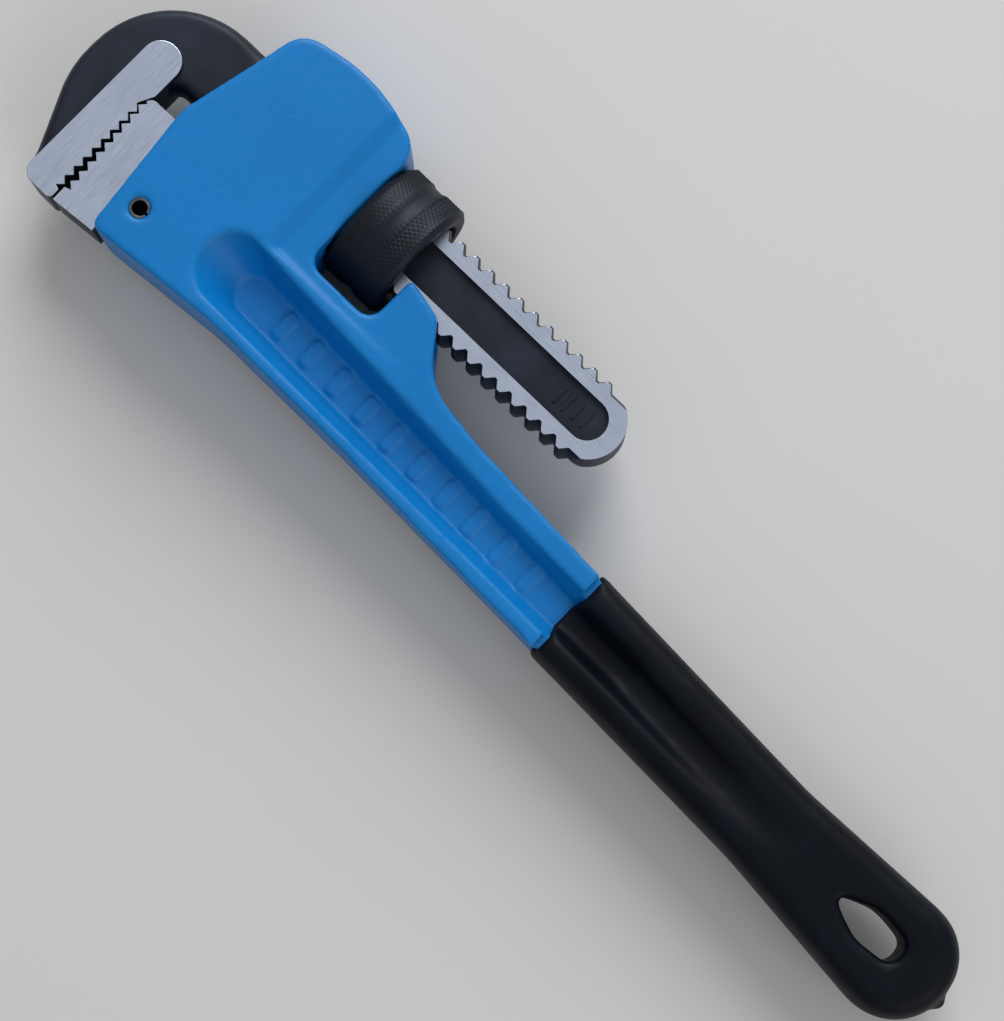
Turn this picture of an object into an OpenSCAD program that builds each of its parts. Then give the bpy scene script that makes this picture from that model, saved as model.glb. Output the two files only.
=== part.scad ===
// Straight pipe wrench with a cast I-beam handle, a pinned heel jaw and a floating hook jaw.
// The wrench lies flat on its side with its jaws closed. X runs along the hook-jaw shank
// towards the jaws, Y points to the side on which the jaws open, and Z is up.
// Shapes are drawn about the heel-jaw pin in the wrench's mid-plane, and placed() moves them
// so that the origin is under the middle of the whole wrench.

/* [Jaws] */
// Half width of the ground gripping faces
jaw_half = 8; // [7.5:0.25:8.25]
// Spacing of the gripping teeth
tooth_pitch = 3.15; // [3.05:0.05:3.2]
// Depth of the gripping teeth
tooth_depth = 1.6; // [1.2:0.1:1.6]
// Number of gripping teeth on each jaw
tooth_count = 9; // [7:1:9]
// Angle between the tooth rows while the jaws are closed
mouth_angle = 3.4; // [3.2:0.1:3.6]

/* [Hook-jaw shank] */
// Half thickness between the two flat faces of the shank
shank_half = 7; // [6.5:0.25:7]
// Half width over the thread at the shank's flat faces
shank_width = 10.05; // [9.8:0.05:10.1]
// Pitch of the single-start thread
thread_pitch = 5; // [5:1:5]
// Depth of the thread
thread_depth = 1.9; // [1.5:0.1:2]
// Number of thread ridges on each edge of the shank
ridge_count = 16; // [14:1:16]

/* [Adjusting nut] */
// Outer radius over the knurling
nut_r = 16.8; // [16:0.1:17]
// Length of the nut
nut_length = 17.8; // [16.5:0.1:18]

/* [Handle] */
// Half thickness of the housing around the heel jaw
housing_half = 14; // [13.5:0.25:14.5]
// Half thickness of the handle's flanges
flange_half = 9.5; // [9:0.25:10]
// Half thickness of the web between the flanges
web_half = 3; // [2.5:0.25:3.5]
// Number of raised bars on the web
bar_count = 10; // [6:1:10]

/* [Grip] */
// Half thickness of the dipped grip
grip_half = 10.2; // [10:0.1:10.6]
// Thickness of the dipped skin
skin = 1.3; // [1:0.1:1.4]

/* [Heel-jaw pin] */
// Outer radius of the spring pin
pin_r = 2.6; // [2.4:0.1:2.8]
// Wall of the spring pin
pin_wall = 0.65; // [0.5:0.05:0.8]

/* [Hidden] */

// Facets on a full circle, and segments in each rounded corner of an outline
$fn = 64;
corner_steps = 9;
// Overshoot of a cut past the face that it opens
over = 1;

// The wrench's box about the pin, which sets the origin
tip_x = 40.5;
tail_x = -273.9;
box_low_y = -61.9;
box_high_y = 18.2;

// Hook-jaw shank: its axis runs along X at this Y
shank_y = -39;
shank_end_x = -123.6;
// Thread ridges: the first one on the +Y edge and its shape
first_ridge_x = -113.6;
ridge_root = 4.2;
ridge_crest = 1;
// Both edges of the shank are crowned: by this much at the mid-plane, about an axis beyond the
// middle of the shank
crown = 1.15;
crown_axis = (shank_half * shank_half / crown - crown) / 2 - shank_width;
crest_r = crown_axis + shank_width + crown;
root_r = norm([crown_axis + shank_width - thread_depth, shank_half]);
shank_high = shank_width + crown;
// The thread's outer radius, which the nut has to clear
thread_r = norm([shank_width, shank_half]);
helix_angle = atan(thread_pitch / (2 * PI * thread_r));
// Round end of the shank, and how far from it the shank has its full width
end_r = 9.8;
end_length = 7.6;
// Recess along both faces of the shank
recess_half = 5.3;
recess_end_x = -118.9;
recess_start_x = -34;
recess_depth = 1.5;

// Hook head: half thickness of the blank behind the ground band
blank_half = 6.4;
hook_root_x = 20.4;
tooth_top_y = 9.7;
tooth_run = tooth_pitch * tooth_count;
heel_gap = 0.45;

// Window for the nut, and the nut inside it
window_front_x = -38.4;
window_back_x = -59.5;
window_y = -19.1;
nut_front_x = -39;
nut_bore_r = thread_r + 0.3;
nut_chamfer = 1.3;
nut_groove_x = -47.6;
nut_groove_half = 1.1;
nut_groove_depth = 0.6;
nut_turns = 2.4;
turn_steps = 36;

// The hook jaw rocks clockwise about this point, so that its shank rises behind it
rock_at = [15, -24];
rock_angle = 2;
// Passage for the shank through the housing
passage_gap = 0.45;
passage_half = shank_half + 0.5;
passage_top_y = shank_y + shank_high + passage_gap;
passage_low_y = shank_y - shank_high - passage_gap;
passage_back_x = -90;
// Coil spring in its blind hole above the shank, behind the nut
coil_x = -66;
coil_r = 2.9;
coil_wire_r = 0.42;
coil_turns = 5.5;
coil_hole_r = 3.4;
coil_hole_depth = 10.5;
coil_low_y = passage_top_y + 0.05;
coil_play = 0.4;
// Flat spring under the shank, in the loop of the housing
leaf_front_x = -3;
leaf_back_x = -30;
leaf_thickness = 0.8;
leaf_half = 5;
leaf_y = shank_y - shank_high - 0.2;
leaf_room = 2;

// Front face of the housing, which the heel jaw rests on
front_top = [5.8, 11.4];
front_low = [9.5, -21.7];
// Heel-jaw tang in its slot
tang_half = 6;
tang_front_x = 12;
tang_back_x = -6.5;
tang_top_y = 9.5;
tang_low_y = -17.5;
tang_round = 3;
slot_gap = 0.1;

// Where the dipped grip starts, and the end of the handle
grip_start_x = -142.5;
handle_end_x = -271.6;
core_inset = 1.8;
core_half = 7.8;
core_low_y = -12.7;
core_high_y = 9.8;
nib_y = 3.7;
nib_r = 2.5;

// ---------- outlines ----------

// Arc that rounds the corner b between a and c with radius r; r = 0 leaves the corner sharp
function unit(v) = v / norm(v);
function turn(from, to) = (to - from + 540) % 360 - 180;
function corner(a, b, c, r) =
    r == 0 ? [b] :
    let (u = unit(a - b),
         w = unit(c - b),
         half = acos(u * w) / 2,
         centre = b + unit(u + w) * r / sin(half),
         start = b + u * r / tan(half) - centre,
         finish = b + w * r / tan(half) - centre,
         start_angle = atan2(start.y, start.x),
         sweep = turn(start_angle, atan2(finish.y, finish.x)))
    [for (i = [0 : corner_steps])
        let (angle = start_angle + sweep * i / corner_steps)
        centre + r * [cos(angle), sin(angle)]];

// Closed outline from corners given as [x, y, radius]
function flat(p) = [p.x, p.y];
function rounded(corners) =
    let (n = len(corners))
    [for (i = [0 : n - 1])
        each corner(flat(corners[(i + n - 1) % n]), flat(corners[i]), flat(corners[(i + 1) % n]),
                    corners[i].z)];

// Corners moved inwards by a distance, for outlines listed anticlockwise
function left_normal(a, b) = let (d = unit(b - a)) [-d.y, d.x];
function shrunk(corners, inset) =
    let (n = len(corners))
    [for (i = [0 : n - 1])
        let (a = flat(corners[(i + n - 1) % n]),
             b = flat(corners[i]),
             c = flat(corners[(i + 1) % n]),
             m = left_normal(a, b),
             q = left_normal(b, c),
             bulge = cross(b - a, c - b) > 0 ? -inset : inset,
             p = b + (m + q) / (1 + m * q) * inset,
             r = corners[i].z)
        [p.x, p.y, r == 0 ? 0 : max(0.3, r + bulge)]];

// Solid through rings that have the same number of points, listed anticlockwise and upwards
module stack(rings) {
    n = len(rings[0]);
    last = len(rings) - 1;
    sides = [for (k = [0 : last - 1])
        each [for (i = [0 : n - 1])
            let (j = (i + 1) % n)
            each [[k * n + i, (k + 1) * n + i, (k + 1) * n + j],
                  [k * n + i, (k + 1) * n + j, k * n + j]]]];
    bottom = [for (i = [0 : n - 1]) i];
    top = [for (i = [n - 1 : -1 : 0]) last * n + i];
    polyhedron([for (ring = rings) each ring], concat([bottom, top], sides));
}

// An outline raised to a height that may change along X
function raised(outline, height, slope = 0, from_x = 0) =
    [for (p = outline) [p.x, p.y, height + slope * (from_x - p.x)]];

// Slab with crowned edges, as layers: each step is [inset, height above the mid-plane]
module crowned(corners, steps) {
    for (s = steps) slab(rounded(shrunk(corners, s.x)), s.y);
}

// Slab with square edges, centred on the mid-plane
module slab(outline, half) {
    translate([0, 0, -half]) linear_extrude(2 * half) polygon(outline);
}

// A copy on each side of the mid-plane
module both_faces() {
    children();
    mirror([0, 0, 1]) children();
}

module placed() {
    translate([-(tip_x + tail_x) / 2, -(box_low_y + box_high_y) / 2, nut_r]) children();
}

// Cylinder along X between two places on the shank's axis
module along_shank(from_x, to_x, r1, r2) {
    translate([from_x, shank_y, 0]) rotate([0, 90, 0]) cylinder(h = to_x - from_x, r1 = r1, r2 = r2);
}

// ---------- handle frame ----------

// Housing and handle up to the grip, clockwise from the front corner at the jaws
frame_corners = [
    [front_top.x, front_top.y, 2.5],
    [front_low.x, front_low.y, 0.6],
    [9.8, -24.8, 1.2],
    [4.6, -47.5, 30],
    [2.2, -59.2, 8],
    [-18, -63, 45],
    [-36.5, -58.3, 8],
    [window_front_x - 0.1, -52.9, 0.8],
    [window_front_x, window_y, 4],
    [window_back_x, window_y, 4],
    [window_back_x, -33.6, 1.2],
    [-70.6, -31.2, 4],
    [-80.6, -18.2, 18],
    [-98, -15.8, 60],
    [grip_start_x, -13.3, 0],
    [grip_start_x, 10.5, 0],
    [-75, 8.4, 120],
    [-32, 8, 90]];

// Teardrop hole for hanging the wrench, anticlockwise
hang_hole = [
    [-256.8, 6, 2.6],
    [-256.8, -1, 2.6],
    [-246, -2.1, 10],
    [-234.8, 2.7, 1.4],
    [-246, 7.1, 10]];

// Outside of the dipped grip, anticlockwise
grip_corners = [
    [grip_start_x, -14.5, 0.6],
    [grip_start_x, 11.6, 0.6],
    [-212, 13.9, 60],
    [handle_end_x, 19.8, 14.8],
    [handle_end_x, -13, 14.6],
    [-215, -11.1, 70]];

// Steel bar inside the grip, which the grip's skin covers
core_corners = concat(
    [[grip_start_x + 1, core_low_y, 0], [grip_start_x + 1, core_high_y, 0]],
    [for (i = [2 : 5]) shrunk(grip_corners, core_inset)[i]]);

// Side view of the housing and flanges: thick round the heel jaw, tapering into the handle
module side_taper() {
    profile = [[14, housing_half], [-26, housing_half], [-70, 12.2], [-115, flange_half],
               [grip_start_x, flange_half]];
    far = [for (i = [len(profile) - 1 : -1 : 0]) [profile[i].x, -profile[i].y]];
    translate([0, 40, 0]) rotate([90, 0, 0]) linear_extrude(120) polygon(concat(profile, far));
}

// Shallow step down from the jaw end of the housing to the strip beside the nut
module step_cut() {
    profile = [[-28.2, housing_half + over], [-28.2, housing_half - 0.05], [-30.8, 12.7],
               [-75, 11.9], [-75, housing_half + over]];
    translate([0, -15.4, 0]) rotate([90, 0, 0]) linear_extrude(60) polygon(profile);
}

// Long pocket with sloping walls beside the web, whose floor rises to the surface in the grip
pocket_mouth = [
    [-17, 4.6, 9.7],
    [-172, 9.4, 8],
    [-172, -10.2, 8],
    [-17, -14.4, 8.6]];
pocket_floor = [
    [-28.7, 0.8, 5.2],
    [-165, 4.1, 3],
    [-165, -3.6, 3],
    [-28.7, -10.3, 5.2]];
mouth_z = housing_half + 0.5;
fade_mouth = [
    [-150, 8.7, 6],
    [-236, 12.6, 7],
    [-236, -6.8, 7],
    [-150, -10.8, 6]];
fade_floor = [
    [-156, 3.7, 2],
    [-230, 7.2, 2.5],
    [-230, -1.3, 2.5],
    [-156, -4, 2]];
fade_slope = 0.082;

module pocket(thin) {
    stack([raised(rounded(shrunk(pocket_floor, thin)), web_half + thin),
           raised(rounded(shrunk(pocket_mouth, thin)), mouth_z + thin)]);
    stack([raised(rounded(shrunk(fade_floor, thin)), web_half + thin, fade_slope, -150),
           raised(rounded(shrunk(fade_mouth, thin)), mouth_z + thin)]);
}

// Raised bars across the web
bar_size = [3, 7.4, 0.7];
first_bar_x = -44;
bar_spacing = 9.6;
bar_round = 1.1;

module web_bars() {
    half = [bar_size.x / 2, bar_size.y / 2];
    for (i = [0 : bar_count - 1]) {
        bar_x = first_bar_x - i * bar_spacing;
        bar_y = -4.6 - (bar_x - first_bar_x) * 0.04;
        translate([bar_x, bar_y, web_half - 0.2])
            linear_extrude(bar_size.z + 0.2)
                polygon(rounded([[-half.x, -half.y, bar_round], [half.x, -half.y, bar_round],
                                 [half.x, half.y, bar_round], [-half.x, half.y, bar_round]]));
    }
}

// Way through the housing for the shank, with room above it for the rocking
function passage_top(x) = passage_top_y + (rock_at.x - x) * tan(rock_angle);

module passage() {
    pocket_low_y = leaf_y - leaf_thickness - leaf_room;
    slab([[rock_at.x, passage_top(rock_at.x)], [passage_back_x, passage_top(passage_back_x)],
          [passage_back_x, passage_low_y], [rock_at.x, passage_low_y]], passage_half);
    slab([[leaf_front_x + leaf_room, shank_y], [leaf_back_x - leaf_room, shank_y],
          [leaf_back_x - leaf_room, pocket_low_y], [leaf_front_x + leaf_room, pocket_low_y]],
         leaf_half + 0.4);
}

// Side view of the heel jaw's tang, or of its slot with a gap all round
function tang(gap) = rounded([
    [tang_front_x, tang_top_y + gap, 0],
    [tang_back_x - gap, tang_top_y + gap, tang_round],
    [tang_back_x - gap, tang_low_y - gap, tang_round],
    [tang_front_x, tang_low_y - gap, 0]]);

// Hang hole through the bar, larger by the skin that lines it
module core_hole() {
    slab(rounded(shrunk(hang_hole, -skin)), 2 * housing_half);
}

module handle_frame() {
    color("royalblue") placed() difference() {
        union() {
            difference() {
                union() {
                    intersection() {
                        slab(rounded(frame_corners), housing_half + over);
                        side_taper();
                    }
                    slab(rounded(core_corners), core_half);
                }
                both_faces() pocket(0);
                both_faces() step_cut();
            }
            both_faces() web_bars();
        }
        passage();
        slab(tang(slot_gap), tang_half + slot_gap);
        cylinder(h = 4 * housing_half, r = pin_r + 0.02, center = true);
        translate([coil_x, passage_top_y - over, 0]) rotate([-90, 0, 0])
            cylinder(h = coil_hole_depth + over, r = coil_hole_r);
        core_hole();
    }
}

// ---------- dipped grip ----------

module grip_sleeve() {
    // Layers of the crowned edge: inset, and height above the mid-plane
    edge = [[0, 4], [0.35, 6.4], [1.2, 8.4], [2.4, 9.6], [4, grip_half]];
    color([0.1, 0.11, 0.13]) placed() difference() {
        union() {
            crowned(grip_corners, edge);
            translate([handle_end_x + 0.2, nib_y, 0]) sphere(r = nib_r);
        }
        both_faces() pocket(skin);
        difference() {
            slab(rounded(core_corners), core_half);
            both_faces() pocket(0);
            core_hole();
        }
        slab(rounded(hang_hole), 2 * grip_half);
    }
}

// ---------- heel jaw and its pin ----------

heel_tip_x = hook_root_x - heel_gap;
heel_dir = [-sin(mouth_angle), cos(mouth_angle)];
heel_start = [heel_tip_x - tooth_depth, tooth_top_y - tooth_run - tooth_pitch / 2];

module heel_jaw() {
    // The row runs from the throat to the mouth, with its tips away from the housing
    row = [for (i = [0 : tooth_count - 1])
        each [heel_start + heel_dir * tooth_pitch * i,
              heel_start + heel_dir * tooth_pitch * (i + 0.5)
                  + [heel_dir.y, -heel_dir.x] * tooth_depth]];
    row_end = heel_start + heel_dir * tooth_run;
    lip_x = heel_tip_x - tooth_run * sin(mouth_angle);
    block = concat(
        [front_top + [slot_gap, 0.3], [lip_x, 12.8], [lip_x + 0.1, row_end.y + 0.6], row_end],
        [for (i = [len(row) - 1 : -1 : 0]) row[i]],
        rounded([[heel_tip_x - 0.9, heel_start.y - 0.3, 0], [18.1, -22, 1.4], [10.6, -22.2, 1.2],
                 [front_low.x + slot_gap, -20.6, 0]]));
    color([0.72, 0.73, 0.76]) placed() difference() {
        union() {
            slab(block, jaw_half);
            slab(tang(0), tang_half);
        }
        cylinder(h = 4 * jaw_half, r = pin_r + 0.02, center = true);
    }
}

module heel_jaw_pin() {
    half_length = housing_half - 0.5;
    slit = 0.8;
    color([0.25, 0.25, 0.27]) placed() difference() {
        cylinder(h = 2 * half_length, r = pin_r, center = true);
        cylinder(h = 2 * half_length + over, r = pin_r - pin_wall, center = true);
        translate([-pin_r - over, -slit / 2, -half_length - over])
            cube([pin_r + over, slit, 2 * (half_length + over)]);
    }
}

// ---------- hook jaw ----------

// Blank of the hook behind the ground band, anticlockwise
blank_corners = [
    [-30, shank_y + 10.6, 0],
    [-30, shank_y - 10.6, 0],
    [4, shank_y - 10.7, 30],
    [tip_x, shank_y - 10.6, 27],
    [tip_x, -14, 30],
    [31.2, 6.3, 10],
    [29, 13.1, 3.6],
    [hook_root_x + 0.4, 13.1, 0.8],
    [hook_root_x + 0.4, -19.2, 0.8],
    [18.6, -22.8, 1.5],
    [18.6, -28.8, 4],
    [4, shank_y + 10.6, 12]];

// Ground band that carries the teeth
module ground_band() {
    row = [for (i = [0 : tooth_count - 1])
        each [[hook_root_x, tooth_top_y - tooth_pitch * i],
              [hook_root_x - tooth_depth, tooth_top_y - tooth_pitch * (i + 0.5)]]];
    outline = concat(row, [[hook_root_x, tooth_top_y - tooth_run]],
        rounded([[hook_root_x - 0.1, tooth_top_y - tooth_run - 0.2, 0],
                 [18.3, -22.8, 1.2],
                 [18.3, -35.4, 5.2],
                 [29, -35.4, 5.2],
                 [29, 13.4, 3.8],
                 [18.95, 13.4, 1.4],
                 [18.95, tooth_top_y + 0.4, 0]]));
    slab(outline, jaw_half);
}

// Thread ridges on one edge of the shank: each is part of a turned ring, tilted to the helix
module ridges(first_x, side, count) {
    reach = 24;
    sunk = 0.4;
    foot = ridge_root / 2 + sunk * (ridge_root - ridge_crest) / 2 / (crest_r - root_r);
    for (i = [0 : count - 1])
        translate([first_x + i * thread_pitch, shank_y, 0])
            rotate([0, 0, side > 0 ? 0 : 180])
                rotate([0, helix_angle, 0])
                    translate([0, -crown_axis, 0])
                        rotate([0, 90, 0])
                            rotate_extrude(angle = 2 * reach, start = 90 - reach)
                                polygon([[root_r - sunk, -foot], [crest_r, -ridge_crest / 2],
                                         [crest_r, ridge_crest / 2], [root_r - sunk, foot]]);
}

// Bar along X with both edges crowned to a radius
module crowned_bar(from_x, to_x, r) {
    intersection_for (side = [-1, 1])
        translate([from_x, shank_y + side * crown_axis, 0])
            rotate([0, 90, 0]) cylinder(h = to_x - from_x, r = r);
}

module shank() {
    plain_from_x = first_ridge_x + (ridge_count - 0.5) * thread_pitch;
    full_x = shank_end_x + end_length;
    side_y = 2 * shank_high;
    intersection() {
        union() {
            crowned_bar(shank_end_x - over, 0, root_r);
            crowned_bar(plain_from_x, 4, crest_r);
            ridges(first_ridge_x, 1, ridge_count);
            ridges(first_ridge_x + thread_pitch / 2, -1, ridge_count - 1);
        }
        union() {
            slab([[full_x, shank_y - side_y], [10, shank_y - side_y],
                  [10, shank_y + side_y], [full_x, shank_y + side_y]], shank_half);
            translate([shank_end_x + end_r, shank_y, -shank_half])
                cylinder(h = 2 * shank_half, r = end_r);
        }
    }
}

// Recess in one face of the shank, with a short row of opening marks left standing in it
module recess() {
    mark_spacing = 3;
    difference() {
        translate([0, 0, shank_half - recess_depth])
            linear_extrude(recess_depth + over)
                polygon(rounded([[recess_end_x, shank_y - recess_half, recess_half - 0.1],
                                 [recess_start_x, shank_y - recess_half, recess_half - 0.1],
                                 [recess_start_x, shank_y + recess_half, recess_half - 0.1],
                                 [recess_end_x, shank_y + recess_half, recess_half - 0.1]]));
        for (i = [0 : 3])
            translate([recess_end_x + 5 + i * mark_spacing, shank_y - 2.5, 0])
                cube([0.9, 5, shank_half - recess_depth + 0.35]);
    }
}

module hook_jaw() {
    // Layers of the blank's crowned edge: inset, and height above the mid-plane
    edge = [[0, 2.2], [0.45, 4.2], [1.5, 5.8], [2.3, blank_half]];
    color([0.16, 0.17, 0.19]) placed() difference() {
        union() {
            shank();
            crowned(blank_corners, edge);
            ground_band();
        }
        both_faces() recess();
    }
}

// ---------- adjusting nut ----------

// Helical ridge inside the nut, swept round the shank's axis
module nut_thread() {
    steps = floor(nut_turns * turn_steps);
    start_x = first_ridge_x + thread_pitch * 12;
    base_half = 1.6;
    crest_half = 0.35;
    inner_r = thread_r - thread_depth + 0.5;
    section = [[nut_bore_r + 0.4, -base_half], [inner_r, -crest_half], [inner_r, crest_half],
               [nut_bore_r + 0.4, base_half]];
    points = [for (i = [0 : steps])
        let (angle = 180 + 360 * i / turn_steps,
             x = start_x + thread_pitch * i / turn_steps)
        each [for (s = section) [x + s.y, s.x * cos(angle), s.x * sin(angle)]]];
    sides = [for (i = [0 : steps - 1])
        each [for (k = [0 : 3])
            let (a = 4 * i + k,
                 b = 4 * i + (k + 1) % 4)
            each [[a, b + 4, b], [a, a + 4, b + 4]]]];
    translate([0, shank_y, 0])
        polyhedron(points, concat([[0, 1, 2, 3], [for (k = [3 : -1 : 0]) 4 * steps + k]], sides));
}

module adjusting_nut() {
    back_x = nut_front_x - nut_length;
    inner_r = nut_r - nut_groove_depth;
    color([0.14, 0.14, 0.17]) placed() union() {
        difference() {
            union() {
                along_shank(back_x, back_x + nut_chamfer, nut_r - nut_chamfer, nut_r);
                along_shank(back_x + nut_chamfer, nut_front_x - nut_chamfer, nut_r, nut_r);
                along_shank(nut_front_x - nut_chamfer, nut_front_x, nut_r, nut_r - nut_chamfer);
            }
            along_shank(back_x - over, nut_front_x + over, nut_bore_r, nut_bore_r);
            difference() {
                along_shank(nut_groove_x - nut_groove_half, nut_groove_x + nut_groove_half,
                            nut_r + over, nut_r + over);
                along_shank(nut_groove_x - 2 * nut_groove_half, nut_groove_x + 2 * nut_groove_half,
                            inner_r, inner_r);
            }
        }
        nut_thread();
    }
}

// ---------- springs ----------

module flat_spring() {
    color([0.45, 0.46, 0.48]) placed()
        translate([leaf_back_x, leaf_y - leaf_thickness, -leaf_half])
            cube([leaf_front_x - leaf_back_x, leaf_thickness, 2 * leaf_half]);
}

// Coil spring along Y, with closed ends
module coil_spring() {
    around = 8;
    steps_per_turn = 16;
    steps = coil_turns * steps_per_turn;
    height = coil_hole_depth - coil_play - 2 * coil_wire_r;
    points = [for (i = [0 : steps])
        let (angle = 360 * i / steps_per_turn,
             rise = height * (1 - cos(180 * i / steps)) / 2)
        each [for (k = [0 : around - 1])
            let (r = coil_r - coil_wire_r + coil_wire_r * cos(360 * k / around))
            [r * cos(angle), rise + coil_wire_r * sin(360 * k / around), r * sin(angle)]]];
    sides = [for (i = [0 : steps - 1])
        each [for (k = [0 : around - 1])
            let (a = around * i + k,
                 b = around * i + (k + 1) % around)
            each [[a, b, b + around], [a, b + around, a + around]]]];
    ends = [[for (k = [around - 1 : -1 : 0]) k], [for (k = [0 : around - 1]) around * steps + k]];
    color([0.5, 0.5, 0.52]) placed()
        translate([coil_x, coil_low_y + coil_wire_r, 0])
            polyhedron(points, concat(ends, sides));
}

handle_frame();
grip_sleeve();
heel_jaw();
heel_jaw_pin();
hook_jaw();
adjusting_nut();
flat_spring();
coil_spring();
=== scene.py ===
import math

import bmesh
import bpy
import numpy as np
from mathutils import Matrix, Vector


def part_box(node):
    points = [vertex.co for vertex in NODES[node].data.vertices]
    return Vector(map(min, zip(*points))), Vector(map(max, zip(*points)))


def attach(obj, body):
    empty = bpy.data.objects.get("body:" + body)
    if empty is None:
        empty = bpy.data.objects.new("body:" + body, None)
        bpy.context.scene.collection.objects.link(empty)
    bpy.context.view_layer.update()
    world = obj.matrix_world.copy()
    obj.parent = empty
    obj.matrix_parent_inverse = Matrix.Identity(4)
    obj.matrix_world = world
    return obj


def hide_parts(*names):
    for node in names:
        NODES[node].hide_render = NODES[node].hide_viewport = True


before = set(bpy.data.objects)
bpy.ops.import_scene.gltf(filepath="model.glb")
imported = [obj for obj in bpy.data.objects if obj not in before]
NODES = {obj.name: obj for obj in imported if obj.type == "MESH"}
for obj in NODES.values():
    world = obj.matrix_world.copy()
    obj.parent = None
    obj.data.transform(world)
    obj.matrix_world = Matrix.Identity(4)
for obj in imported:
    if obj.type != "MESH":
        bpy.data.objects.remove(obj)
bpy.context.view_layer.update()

MM = 0.001

# The heel-jaw pin's axis is the point that the wrench was laid out about
PIN_LOW, PIN_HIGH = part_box("heel_jaw_pin")
PIN = Vector(((PIN_LOW[0] + PIN_HIGH[0]) / 2, (PIN_LOW[1] + PIN_HIGH[1]) / 2,
              (PIN_LOW[2] + PIN_HIGH[2]) / 2))
MID_Z = PIN.z


def at(x, y, z=0.0):
    """A point given in millimetres from the pin, in the wrench's frame."""
    return Vector((PIN.x + x * MM, PIN.y + y * MM, PIN.z + z * MM))


# ---------- meshes ----------

# Points that lie closer together than this are one point, in metres
SAME_POINT = 1e-6

# Share of the way to its neighbours' mean that a vertex moves in one round of softening
SOFTEN_STEP = 0.5


def link(name, mesh):
    obj = bpy.data.objects.new(name, mesh)
    bpy.context.scene.collection.objects.link(obj)
    return obj


def mesh_from(name, verts, faces):
    mesh = bpy.data.meshes.new(name)
    mesh.from_pydata([tuple(v) for v in verts], [], faces)
    mesh.validate()
    return mesh


def apply_modifiers(obj):
    graph = bpy.context.evaluated_depsgraph_get()
    mesh = bpy.data.meshes.new_from_object(obj.evaluated_get(graph))
    obj.modifiers.clear()
    obj.data = mesh


def tidy_mesh(mesh):
    """Welds doubled points, turns the faces outwards and takes the materials off."""
    bm = bmesh.new()
    bm.from_mesh(mesh)
    bmesh.ops.remove_doubles(bm, verts=bm.verts, dist=SAME_POINT)
    bmesh.ops.recalc_face_normals(bm, faces=bm.faces)
    bm.to_mesh(mesh)
    bm.free()
    mesh.materials.clear()


def node_copy(node):
    """A clean copy of the mesh of a CAD node."""
    mesh = NODES[node].data.copy()
    tidy_mesh(mesh)
    return mesh


def cut_off(mesh, x, keep_above):
    """Cuts a mesh at a plane across X and closes the cut."""
    bm = bmesh.new()
    bm.from_mesh(mesh)
    made = bmesh.ops.bisect_plane(
        bm, geom=bm.verts[:] + bm.edges[:] + bm.faces[:], plane_co=(x, 0, 0),
        plane_no=(1, 0, 0), clear_inner=keep_above, clear_outer=not keep_above)
    rim = [e for e in made["geom_cut"] if isinstance(e, bmesh.types.BMEdge)]
    bmesh.ops.triangle_fill(bm, edges=rim, use_beauty=True)
    bmesh.ops.recalc_face_normals(bm, faces=bm.faces)
    bm.to_mesh(mesh)
    bm.free()


def joined(meshes):
    bm = bmesh.new()
    for mesh in meshes:
        bm.from_mesh(mesh)
    out = bpy.data.meshes.new("joined")
    bm.to_mesh(out)
    bm.free()
    return out


def soften(mesh, rounds, weight):
    """Smooths vertices towards their neighbours. weight(points) is 0 where nothing may move."""
    count = len(mesh.vertices)
    points = np.empty(count * 3)
    mesh.vertices.foreach_get("co", points)
    points = points.reshape(-1, 3)
    edges = np.empty(len(mesh.edges) * 2, dtype=np.int64)
    mesh.edges.foreach_get("vertices", edges)
    a, b = edges[0::2], edges[1::2]
    degree = np.maximum(np.bincount(a, minlength=count) + np.bincount(b, minlength=count), 1)
    amount = SOFTEN_STEP * weight(points)
    for _ in range(rounds):
        mean = np.stack([np.bincount(a, points[b, k], count) + np.bincount(b, points[a, k], count)
                         for k in range(3)], 1) / degree[:, None]
        points = points + (mean - points) * amount[:, None]
    mesh.vertices.foreach_set("co", points.ravel())
    mesh.update()


def voxelled(name, mesh, size):
    """One closed skin round everything in a mesh."""
    obj = link(name, mesh)
    mod = obj.modifiers.new("skin", "REMESH")
    mod.mode = "VOXEL"
    mod.voxel_size = size
    apply_modifiers(obj)
    return obj


def thinned(obj, faces):
    """Fewer faces where the surface is flat."""
    have = sum(len(p.vertices) - 2 for p in obj.data.polygons)
    if have > faces:
        mod = obj.modifiers.new("thin", "DECIMATE")
        mod.ratio = faces / have
        apply_modifiers(obj)


def shade(obj, angle=None):
    """Smooth shading, with sharp edges where faces meet at more than an angle in degrees."""
    mesh = obj.data
    mesh.polygons.foreach_set("use_smooth", [True] * len(mesh.polygons))
    if angle is not None:
        mesh.set_sharp_from_angle(angle=math.radians(angle))
    mesh.update()


def flattened(obj):
    """Normals that stay flat on broad faces beside broken edges."""
    mod = obj.modifiers.new("flat", "WEIGHTED_NORMAL")
    mod.keep_sharp = True
    mod.weight = 100
    apply_modifiers(obj)


def ramp(values, low, high):
    """0 up to low, 1 from high on and a smooth rise in between."""
    t = np.clip((values - low) / (high - low), 0, 1)
    return t * t * (3 - 2 * t)


# ---------- outlines, in millimetres from the pin ----------

CORNER_STEPS = 12


def unit(v):
    return v / np.linalg.norm(v)


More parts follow.
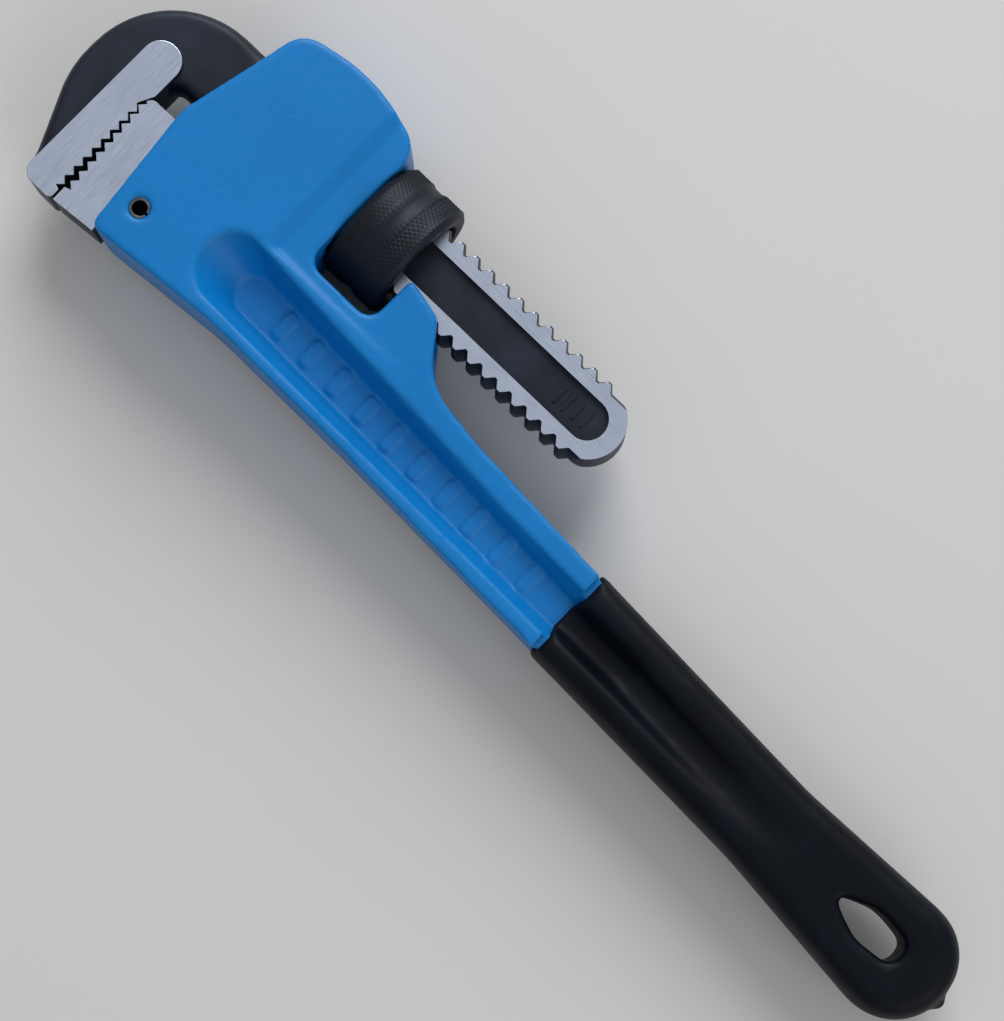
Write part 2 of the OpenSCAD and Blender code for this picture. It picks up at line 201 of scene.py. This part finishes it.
def rounded(corners):
    """Closed outline from corners given as (x, y, radius)."""
    out = []
    n = len(corners)
    for i in range(n):
        a, b, c = (np.array(corners[k % n][:2], float) for k in (i - 1, i, i + 1))
        r = corners[i][2]
        if r == 0:
            out.append(b)
            continue
        u, w = unit(a - b), unit(c - b)
        half = math.acos(np.clip(u @ w, -1, 1)) / 2
        centre = b + unit(u + w) * r / math.sin(half)
        start = b + u * r / math.tan(half) - centre
        finish = b + w * r / math.tan(half) - centre
        first = math.atan2(start[1], start[0])
        sweep = (math.atan2(finish[1], finish[0]) - first + 3 * math.pi) % (2 * math.pi) - math.pi
        for k in range(CORNER_STEPS + 1):
            angle = first + sweep * k / CORNER_STEPS
            out.append(centre + r * np.array([math.cos(angle), math.sin(angle)]))
    return out


def shrunk(corners, inset):
    """Corners moved inwards, for outlines listed anticlockwise."""
    out = []
    n = len(corners)
    for i in range(n):
        a, b, c = (np.array(corners[k % n][:2], float) for k in (i - 1, i, i + 1))
        d, e = unit(b - a), unit(c - b)
        m, q = np.array([-d[1], d[0]]), np.array([-e[1], e[0]])
        turn = (b - a)[0] * (c - b)[1] - (b - a)[1] * (c - b)[0]
        p = b + (m + q) / (1 + m @ q) * inset
        r = corners[i][2]
        out.append((p[0], p[1], 0 if r == 0 else max(0.3, r - inset if turn > 0 else r + inset)))
    return out


def loft(name, layers):
    """Closed mesh through outlines with the same number of points, given as (outline, z)."""
    n = len(layers[0][0])
    verts = [at(p[0], p[1], z) for outline, z in layers for p in outline]
    faces = []
    for k in range(len(layers) - 1):
        for i in range(n):
            j = (i + 1) % n
            faces.append((k * n + i, k * n + j, (k + 1) * n + j, (k + 1) * n + i))
    faces.append(tuple(range(n - 1, -1, -1)))
    last = (len(layers) - 1) * n
    faces.append(tuple(last + i for i in range(n)))
    mesh = mesh_from(name, verts, faces)
    tidy_mesh(mesh)
    return mesh


def bevelled(obj, edge, segments, angle):
    """Softly broken edges, wherever faces meet at more than an angle in degrees."""
    mod = obj.modifiers.new("edge", "BEVEL")
    mod.width = edge * MM
    mod.segments = segments
    mod.limit_method = "ANGLE"
    mod.angle_limit = math.radians(angle)
    mod.use_clamp_overlap = True
    apply_modifiers(obj)


def plate(name, outline, half, edge):
    """Flat plate with softly broken edges, which reaches half above and below the mid-plane."""
    obj = link(name, loft(name, [(outline, -half), (outline, half)]))
    bevelled(obj, edge, segments=3, angle=28)
    return obj


# ---------- materials ----------


class Look:
    """A node material that is put together a few nodes at a time."""

    def __init__(self, name):
        self.material = bpy.data.materials.new(name)
        self.material.use_nodes = True
        self.tree = self.material.node_tree
        self.bsdf = self.tree.nodes["Principled BSDF"]
        self.place = self.node("ShaderNodeTexCoord").outputs["Object"]
        self.normal = self.node("ShaderNodeNewGeometry").outputs["True Normal"]

    def node(self, kind, inputs=(), **settings):
        """Adds a node, whose inputs are given as values or as other nodes' outputs."""
        made = self.tree.nodes.new(kind)
        for key, value in settings.items():
            setattr(made, key, value)
        for key, value in dict(inputs).items():
            self.feed(made.inputs[key], value)
        return made

    def feed(self, socket, value):
        if isinstance(value, bpy.types.NodeSocket):
            self.tree.links.new(value, socket)
        else:
            socket.default_value = value

    def set(self, **values):
        """Sets inputs of the surface, named with _ for each space."""
        for key, value in values.items():
            self.feed(self.bsdf.inputs[key.replace("_", " ")], value)

    def scaled(self, sx, sy, sz):
        return self.node("ShaderNodeMapping", {
            "Vector": self.place, "Scale": (sx, sy, sz)}).outputs[0]

    def noise(self, scale, detail=3.0, rough=0.55, where=None):
        return self.node("ShaderNodeTexNoise", {
            "Vector": where or self.place, "Scale": scale, "Detail": detail,
            "Roughness": rough}).outputs[0]

    def spread(self, value, from_low, from_high, low=0.0, high=1.0):
        return self.node("ShaderNodeMapRange", {
            0: value, 1: from_low, 2: from_high, 3: low, 4: high},
            interpolation_type="SMOOTHSTEP").outputs[0]

    def maths(self, kind, a, b=0.0):
        return self.node("ShaderNodeMath", {0: a, 1: b}, operation=kind).outputs[0]

    def axis(self, vector, k):
        return self.node("ShaderNodeSeparateXYZ", {0: vector}).outputs[k]

    def mix(self, amount, a, b):
        return self.node("ShaderNodeMix", {0: amount, 6: a, 7: b}, data_type="RGBA").outputs[2]

    def blend(self, amount, a, b):
        return self.node("ShaderNodeMix", {0: amount, 2: a, 3: b}, data_type="FLOAT").outputs[0]

    def bumps(self, *layers):
        """Bump from (height, distance in millimetres) layers."""
        normal = None
        for height, distance in layers:
            fields = {"Height": height, "Distance": distance * MM, "Strength": 1.0}
            if normal is not None:
                fields["Normal"] = normal
            normal = self.node("ShaderNodeBump", fields).outputs[0]
        self.feed(self.bsdf.inputs["Normal"], normal)


def colour(r, g, b):
    """Colour from 0-255 screen values."""
    def one(v):
        v /= 255
        return v / 12.92 if v <= 0.04045 else ((v + 0.055) / 1.055) ** 2.4
    return (one(r), one(g), one(b), 1.0)


def put(obj, look):
    obj.data.materials.clear()
    obj.data.materials.append(look.material)


def enamel():
    look = Look("blue_enamel")
    cloud = look.noise(38, 4)
    speck = look.noise(900, 2)
    base = look.mix(look.spread(cloud, 0.3, 0.7), colour(0, 112, 184), colour(4, 120, 194))
    base = look.mix(look.spread(speck, 0.2, 0.8), base, colour(2, 116, 189))
    look.set(Base_Color=base, Metallic=0.0, Specular_IOR_Level=0.26,
             Coat_Weight=0.06, Coat_Roughness=0.25)
    look.set(Roughness=look.blend(look.noise(260, 3), 0.36, 0.52))
    look.bumps((look.noise(420, 2, 0.5), 0.08), (look.noise(1500, 2, 0.5), 0.02))
    return look


def vinyl():
    look = Look("black_vinyl")
    cloud = look.noise(55, 4)
    base = look.mix(look.spread(cloud, 0.3, 0.7), colour(2, 6, 14), colour(6, 12, 23))
    look.set(Base_Color=base, Metallic=0.0, Specular_IOR_Level=0.13)
    look.set(Roughness=look.blend(look.noise(190, 4), 0.40, 0.58))
    look.bumps((look.noise(170, 3, 0.5), 0.16), (look.noise(1700, 2, 0.5), 0.02))
    return look


def ground_fields(look, lines):
    """Colour, roughness and bump height of ground steel with lines drawn out along one axis."""
    streak = look.noise(1.0, 5, 0.6, where=lines)
    cloud = look.noise(60, 3)
    base = look.mix(look.spread(streak, 0.2, 0.8), colour(194, 206, 229), colour(210, 221, 242))
    base = look.mix(look.spread(cloud, 0.35, 0.75, 0.0, 0.35), base, colour(176, 187, 212))
    rough = look.blend(look.spread(streak, 0.2, 0.8), 0.25, 0.36)
    return base, rough, streak


def black_fields(look, low, high):
    """Colour, roughness and bump height of black steel, between two colours."""
    cloud = look.noise(70, 5)
    base = look.mix(look.spread(cloud, 0.3, 0.7), low, high)
    rough = look.blend(look.noise(240, 4), 0.42, 0.6)
    return base, rough, look.noise(600, 3, 0.6)


# How level a face is where its grinding starts and where it is full, as the upright part of its
# normal
JAW_LEVEL = (0.62, 0.82)
SHANK_LEVEL = (0.90, 0.97)

# Between these heights from the mid-plane the black of the shank's recesses gives way to ground
# steel. Towards the hook the grinding gives out along a ragged line. All in millimetres
FACE_LOW, FACE_HIGH = 6.80, 6.92
GRINDING_FADES, GRINDING_ENDS, RAGGEDNESS = -12, -6, 6


def ground_jaw():
    """Black steel that is ground on its two flat faces."""
    look = Look("ground_jaw")
    g_base, g_rough, streak = ground_fields(look, look.scaled(4200, 160, 4200))
    b_base, b_rough, grain = black_fields(look, colour(30, 33, 39), colour(44, 48, 56))
    ground = look.spread(look.maths("ABSOLUTE", look.axis(look.normal, 2)), *JAW_LEVEL)
    look.set(Base_Color=look.mix(ground, b_base, g_base),
             Metallic=look.blend(ground, 0.35, 1.0), Specular_IOR_Level=0.4,
             Roughness=look.blend(ground, b_rough, g_rough))
    look.bumps((streak, 0.004), (grain, 0.006))
    return look


def black_oxide():
    look = Look("black_oxide")
    base, rough, grain = black_fields(look, colour(10, 16, 26), colour(20, 27, 40))
    look.set(Base_Color=base, Metallic=0.35, Roughness=rough, Specular_IOR_Level=0.4)
    look.bumps((look.noise(120, 3), 0.06), (grain, 0.02))
    return look


def forged_and_ground():
    """Black forging that is ground along the shank's two faces, but not in its recesses."""
    look = Look("forged_and_ground")
    height = look.maths("SUBTRACT", look.axis(look.place, 2), MID_Z)
    up = look.maths("ABSOLUTE", look.axis(look.normal, 2))
    level = look.maths("ABSOLUTE", height)
    ground = look.maths("MULTIPLY", look.spread(level, FACE_LOW * MM, FACE_HIGH * MM),
                        look.spread(up, *SHANK_LEVEL))
    ragged = look.maths("ADD", look.axis(look.place, 0),
                        look.maths("MULTIPLY", look.noise(160, 3), RAGGEDNESS * MM))
    ground = look.maths("MULTIPLY", ground, look.spread(
        ragged, at(GRINDING_FADES, 0).x, at(GRINDING_ENDS, 0).x, 1.0, 0.0))
    g_base, g_rough, streak = ground_fields(look, look.scaled(160, 4200, 4200))
    b_base, b_rough, grain = black_fields(look, colour(15, 22, 34), colour(30, 38, 54))
    look.set(Base_Color=look.mix(ground, b_base, g_base),
             Metallic=look.blend(ground, 0.35, 1.0), Specular_IOR_Level=0.4,
             Roughness=look.blend(ground, b_rough, g_rough))
    look.bumps((look.noise(120, 3), 0.05), (streak, 0.004), (grain, 0.012))
    return look


def spring_steel():
    look = Look("spring_steel")
    cloud = look.noise(300, 3)
    base = look.mix(look.spread(cloud, 0.3, 0.7), colour(92, 94, 100), colour(130, 132, 138))
    look.set(Base_Color=base, Metallic=1.0, Roughness=look.blend(look.noise(500, 3), 0.28, 0.42))
    look.bumps((look.noise(900, 2), 0.01))
    return look


ENAMEL = enamel()
VINYL = vinyl()
GROUND = ground_jaw()
OXIDE = black_oxide()
FORGED = forged_and_ground()
SPRING = spring_steel()

# ---------- casting ----------

# The grip's mouth, and how far the casting runs on inside it
GRIP_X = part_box("grip_sleeve")[1][0]
HIDDEN_END = 5 * MM

# Levels from the mid-plane: the web and its bars lie below the first, and above the second the
# skin is softened in full
BAR_LEVEL, FLANGE_LEVEL = 3.9 * MM, 5.5 * MM
WEB_SHARE = 0.3


def casting_softness(p):
    """Nothing at the grip's mouth, and less on the web than elsewhere, so that its bars stay."""
    off_web = ramp(abs(p[:, 2] - MID_Z), BAR_LEVEL, FLANGE_LEVEL)
    return (ramp(p[:, 0], GRIP_X + 0.3 * MM, GRIP_X + 3 * MM)
            * (WEB_SHARE + (1 - WEB_SHARE) * off_web))


casting_mesh = node_copy("handle_frame")
cut_off(casting_mesh, GRIP_X - HIDDEN_END, keep_above=True)
casting = voxelled("casting", casting_mesh, size=0.62 * MM)
soften(casting.data, rounds=5, weight=casting_softness)
thinned(casting, faces=120000)
shade(casting)
put(casting, ENAMEL)
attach(casting, "handle")
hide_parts("handle_frame")

# ---------- dipped grip ----------

# The bar inside the grip stops short of its mouth, and the mouth's edge is softened less
BAR_SHORT = 1.6 * MM
MOUTH_SHARE = 0.25


def grip_softness(p):
    return MOUTH_SHARE + (1 - MOUTH_SHARE) * ramp(GRIP_X - p[:, 0], 1.5 * MM, 6 * MM)


bar_mesh = node_copy("handle_frame")
cut_off(bar_mesh, GRIP_X - BAR_SHORT, keep_above=False)
grip = voxelled("dipped_grip", joined([node_copy("grip_sleeve"), bar_mesh]), size=0.7 * MM)
soften(grip.data, rounds=22, weight=grip_softness)
thinned(grip, faces=90000)
shade(grip)
put(grip, VINYL)
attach(grip, "handle")
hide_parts("grip_sleeve")

# ---------- hook jaw ----------

SHANK_Y = -39.0
TOOTH_PITCH, TOOTH_DEPTH, TOOTH_COUNT = 3.15, 1.6, 9
ROOT_X, TOP_Y = 20.4, 9.7
JAW_HALF = 8.0
ROW_END = TOP_Y - TOOTH_PITCH * TOOTH_COUNT

# Outline of the forging, whose edges are crowned: they lean in as they rise from the mid-plane
TIP_X, BLANK_TOP, BLANK_HALF, BLANK_END = 40.45, 13.1, 10.6, -30
BLANK = [
    (BLANK_END, SHANK_Y + BLANK_HALF, 0), (BLANK_END, SHANK_Y - BLANK_HALF, 0),
    (4, SHANK_Y - 10.7, 30), (TIP_X, SHANK_Y - BLANK_HALF, 27), (TIP_X, -14, 30),
    (31.2, 6.3, 10), (29, BLANK_TOP, 3.6), (ROOT_X + 0.4, BLANK_TOP, 0.8),
    (ROOT_X + 0.4, -19.2, 0.8), (18.6, -22.8, 1.5), (18.6, -28.8, 4),
    (4, SHANK_Y + BLANK_HALF, 12)]
CROWN_START, CROWN_HEIGHT, CROWN_IN, CROWN_LAYERS = 1.2, 5.2, 2.6, 9

# Along the wrench: the stretch of the CAD shank that is taken into the forging's skin, the joint
# where that skin gives way to the crisp shank, and the neck, which is softened most from
# NECK_FULL to NECK_FADES
SHANK_FROM, SHANK_TO = -34, 12
JOINT_X = at(-31, 0).x
NECK_START, NECK_FULL, NECK_FADES, NECK_END = (at(x, 0).x for x in (-5, 1, 7, 13))


def hook_softness(p):
    """Nothing at the joint with the shank."""
    return ramp(p[:, 0], JOINT_X + 1 * MM, JOINT_X + 8 * MM)


def neck_softness(p):
    return ramp(p[:, 0], NECK_START, NECK_FULL) * (1 - ramp(p[:, 0], NECK_FADES, NECK_END))


crown = [(CROWN_IN * (1 - math.cos(t)), CROWN_START + CROWN_HEIGHT * math.sin(t))
         for t in np.linspace(0, math.pi / 2, CROWN_LAYERS)]
layers = [(i, -z) for i, z in reversed(crown)] + crown
blank_mesh = loft("blank", [(rounded(shrunk(BLANK, i)), z) for i, z in layers])
shank_mesh = node_copy("hook_jaw")
cut_off(shank_mesh, at(SHANK_TO, 0).x, keep_above=False)
cut_off(shank_mesh, at(SHANK_FROM, 0).x, keep_above=True)
hook = voxelled("hook_forging", joined([blank_mesh, shank_mesh]), size=0.42 * MM)
cut_off(hook.data, JOINT_X, keep_above=True)
soften(hook.data, rounds=12, weight=hook_softness)
soften(hook.data, rounds=40, weight=neck_softness)
thinned(hook, faces=110000)
shade(hook)
put(hook, FORGED)
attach(hook, "hook")
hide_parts("hook_jaw")

rack = link("hook_shank", node_copy("hook_jaw"))
bevelled(rack, edge=0.2, segments=2, angle=35)
cut_off(rack.data, JOINT_X, keep_above=False)
shade(rack, angle=40)
flattened(rack)
put(rack, FORGED)
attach(rack, "hook")
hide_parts("hook_jaw")

# The ground band: a row of teeth, and round its back an outline with rounded corners
BAND_X, THROAT_X, LIP_X = 29, 18.3, 18.95
BAND_TOP, BAND_BOTTOM = 13.4, -35.4
row = []
for i in range(TOOTH_COUNT):
    row.append((ROOT_X, TOP_Y - TOOTH_PITCH * i))
    row.append((ROOT_X - TOOTH_DEPTH, TOP_Y - TOOTH_PITCH * (i + 0.5)))
band_outline = row + [(ROOT_X, ROW_END)] + [tuple(p) for p in rounded([
    (ROOT_X - 0.1, ROW_END - 0.2, 0), (THROAT_X, -22.8, 1.2), (THROAT_X, BAND_BOTTOM, 5.2),
    (BAND_X, BAND_BOTTOM, 5.2), (BAND_X, BAND_TOP, 3.8), (LIP_X, BAND_TOP, 1.4),
    (LIP_X, TOP_Y + 0.4, 0)])]
band = plate("hook_jaw_band", band_outline, JAW_HALF, edge=0.28)
shade(band, angle=35)
flattened(band)
put(band, GROUND)
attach(band, "hook")
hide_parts("hook_jaw")

# ---------- adjusting nut ----------

NUT_BACK, NUT_FRONT = -56.8, -39.0
NUT_R, NUT_BORE, NUT_CHAMFER = 16.8, 12.55, 1.3
GROOVE_X, GROOVE_HALF, GROOVE_SHOULDER, GROOVE_DEPTH = -47.6, 1.1, 2.3, 0.6

# Broken edges: at the bore's ends, in radius and in length, and before and after the corners
# where the chamfers start
BORE_BREAK, BORE_BREAK_LENGTH = 0.4, 0.35
RIM_FLAT, RIM_BREAK = 0.2, 0.12

# The thread inside, with the half-widths of its foot and of its crest
THREAD_X, THREAD_PITCH, THREAD_TURNS, STEPS_PER_TURN = -53.6, 5.0, 2.4, 72
FOOT_R, CREST_R = NUT_BORE + 0.4, 10.85
FOOT_HALF, CREST_HALF = 1.6, 0.35

# The diamond knurl, which is shallower where a band ends
KNURL_DEPTH, KNURL_END_SHARE = 0.42, 0.4
DIAMONDS, PER_DIAMOND = 80, 4
DIAMOND_LENGTH = 1.8


def triangle(t):
    """Zigzag that is 1 at whole numbers and 0 halfway between them."""
    return abs((t % 1.0) - 0.5) * 2


def knurl_height(around, along):
    """0 in the grooves and 1 on the points of a diamond pattern."""
    return min(1 - triangle(around + along), 1 - triangle(around - along))


def nut_rows():
    """(x, radius, knurl amount) once round the nut's section, from the bore's back end."""
    rows = [(NUT_BACK + BORE_BREAK_LENGTH, NUT_BORE, 0), (NUT_BACK, NUT_BORE + BORE_BREAK, 0),
            (NUT_BACK, NUT_R - NUT_CHAMFER - RIM_FLAT, 0),
            (NUT_BACK + RIM_BREAK, NUT_R - NUT_CHAMFER + RIM_BREAK, 0)]
    step = DIAMOND_LENGTH / PER_DIAMOND
    bands = ((NUT_BACK + NUT_CHAMFER, GROOVE_X - GROOVE_SHOULDER),
             (GROOVE_X + GROOVE_SHOULDER, NUT_FRONT - NUT_CHAMFER))
    for low, high in bands:
        count = round((high - low) / step)
        rows += [(low + (high - low) * k / count, NUT_R, 1 if 0 < k < count else KNURL_END_SHARE)
                 for k in range(count + 1)]
        if low < GROOVE_X:
            rows += [(GROOVE_X - GROOVE_HALF, NUT_R - GROOVE_DEPTH, 0),
                     (GROOVE_X + GROOVE_HALF, NUT_R - GROOVE_DEPTH, 0)]
    rows += [(NUT_FRONT - RIM_BREAK, NUT_R - NUT_CHAMFER + RIM_BREAK, 0),
             (NUT_FRONT, NUT_R - NUT_CHAMFER - RIM_FLAT, 0),
             (NUT_FRONT, NUT_BORE + BORE_BREAK, 0), (NUT_FRONT - BORE_BREAK_LENGTH, NUT_BORE, 0)]
    return rows


def nut_mesh():
    """The nut's section turned about the shank's axis, with the knurl cut into it."""
    rows = nut_rows()
    columns = DIAMONDS * PER_DIAMOND
    verts, faces = [], []
    for x, r, amount in rows:
        for k in range(columns):
            around = k / PER_DIAMOND
            drop = amount * KNURL_DEPTH * (1 - knurl_height(around, x / DIAMOND_LENGTH))
            angle = 2 * math.pi * k / columns
            verts.append(at(x, SHANK_Y + (r - drop) * math.cos(angle),
                            (r - drop) * math.sin(angle)))
    for i in range(len(rows)):
        for k in range(columns):
            j, n = (i + 1) % len(rows), (k + 1) % columns
            faces.append((i * columns + k, i * columns + n, j * columns + n, j * columns + k))
    mesh = mesh_from("nut", verts, faces)
    tidy_mesh(mesh)
    return mesh


def thread_mesh():
    """Ridge that winds round inside the nut, with its foot in the nut's wall."""
    section = [(FOOT_R, -FOOT_HALF), (CREST_R, -CREST_HALF), (CREST_R, CREST_HALF),
               (FOOT_R, FOOT_HALF)]
    steps = round(STEPS_PER_TURN * THREAD_TURNS)
    verts = []
    for i in range(steps + 1):
        turn = i / STEPS_PER_TURN
        angle = math.pi + 2 * math.pi * turn
        verts += [at(THREAD_X + THREAD_PITCH * turn + dx, SHANK_Y + r * math.cos(angle),
                     r * math.sin(angle)) for r, dx in section]
    faces = [(4 * i + k, 4 * i + (k + 1) % 4, 4 * i + 4 + (k + 1) % 4, 4 * i + 4 + k)
             for i in range(steps) for k in range(4)]
    faces += [(3, 2, 1, 0), tuple(4 * steps + k for k in range(4))]
    mesh = mesh_from("thread", verts, faces)
    tidy_mesh(mesh)
    return mesh


nut = link("nut", joined([nut_mesh(), thread_mesh()]))
shade(nut, angle=50)
put(nut, OXIDE)
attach(nut, "nut")
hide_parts("adjusting_nut")

# ---------- pieces that keep their CAD shape ----------


def dress(node, look, edge=None):
    """Puts a look on a CAD node and breaks its edges, by millimetres, if an edge is given."""
    obj = NODES[node]
    put(obj, look)
    if edge:
        weld = obj.modifiers.new("weld", "WELD")
        weld.merge_threshold = 2e-6
        mod = obj.modifiers.new("edge", "BEVEL")
        mod.width = edge * MM
        mod.segments = 3
        mod.limit_method = "ANGLE"
        mod.angle_limit = math.radians(30)
        mod.harden_normals = True


dress("heel_jaw", GROUND, edge=0.25)
dress("heel_jaw_pin", SPRING, edge=0.12)
dress("flat_spring", SPRING, edge=0.1)
dress("coil_spring", SPRING)

# ---------- floor, light and camera ----------


def floor_look():
    look = Look("pale_floor")
    cloud = look.noise(3, 3)
    base = look.mix(look.spread(cloud, 0.3, 0.7), colour(203, 203, 203), colour(206, 206, 206))
    look.set(Base_Color=base, Roughness=0.9, Specular_IOR_Level=0.1)
    return look


# Half the floor's side, and its level just below the wrench, in metres
FLOOR_HALF, FLOOR_Z = 6.0, -0.0002
floor = link("floor", mesh_from("floor", [
    (-FLOOR_HALF, -FLOOR_HALF, FLOOR_Z), (FLOOR_HALF, -FLOOR_HALF, FLOOR_Z),
    (FLOOR_HALF, FLOOR_HALF, FLOOR_Z), (-FLOOR_HALF, FLOOR_HALF, FLOOR_Z)], [(0, 1, 2, 3)]))
put(floor, floor_look())


def softbox(name, place, target, size, power):
    """Round light of a size in metres and a power in watts, turned towards a target."""
    data = bpy.data.lights.new(name, "AREA")
    data.shape = "DISK"
    data.size = size
    data.energy = power
    obj = bpy.data.objects.new(name, data)
    obj.location = place
    obj.rotation_euler = (Vector(target) - Vector(place)).to_track_quat("-Z", "Y").to_euler()
    bpy.context.scene.collection.objects.link(obj)


softbox("key", (1.05, -1.75, 1.45), (0, 0, 0), size=1.9, power=54)
softbox("fill", (-1.50, 0.30, 1.00), (0, 0, 0), size=1.4, power=8)

# The studio is brighter overhead than at the sides. Height is 0 at the horizon and 1 overhead
SIDE_HEIGHT, TOP_HEIGHT = 0.1, 1.0
SIDE_STRENGTH, TOP_STRENGTH = 0.27, 0.47
world = bpy.data.worlds.new("studio")
world.use_nodes = True
tree = world.node_tree
where = tree.nodes.new("ShaderNodeTexCoord").outputs["Generated"]
height = tree.nodes.new("ShaderNodeSeparateXYZ")
tree.links.new(where, height.inputs[0])
glow = tree.nodes.new("ShaderNodeMapRange")
tree.links.new(height.outputs[2], glow.inputs[0])
for k, value in enumerate((SIDE_HEIGHT, TOP_HEIGHT, SIDE_STRENGTH, TOP_STRENGTH), 1):
    glow.inputs[k].default_value = value
tree.links.new(glow.outputs[0], tree.nodes["Background"].inputs[1])
tree.nodes["Background"].inputs[0].default_value = (1.0, 1.0, 1.0, 1.0)
bpy.context.scene.world = world
bpy.context.scene.view_settings.view_transform = "Standard"

# Camera: nearly square above the wrench, with the shank's axis at 43.8 degrees in the picture.
# The focal length and the sensor are in millimetres, the shift is in picture heights
CAMERA_AT = at(-176.8, 48.05, 706.8)
LOOKS_AT = at(-122.34, -7.14)
TILT = math.radians(43.8)
ROLL = math.radians(0.208)
FOCAL_LENGTH, SENSOR_WIDTH = 102.469, 36
LENS_SHIFT = (-0.0195886, 0.029383)
back = (CAMERA_AT - LOOKS_AT).normalized()
right = Vector((math.sin(TILT), -math.cos(TILT), 0)).cross(back).normalized()
turned = Matrix((right, back.cross(right), back)).transposed() @ Matrix.Rotation(ROLL, 3, "Z")
camera_data = bpy.data.cameras.new("camera")
camera_data.lens = FOCAL_LENGTH
camera_data.sensor_width = SENSOR_WIDTH
camera_data.shift_x, camera_data.shift_y = LENS_SHIFT
camera = bpy.data.objects.new("camera", camera_data)
camera.matrix_world = Matrix.Translation(CAMERA_AT) @ turned.to_4x4()
bpy.context.scene.collection.objects.link(camera)
bpy.context.scene.camera = camera
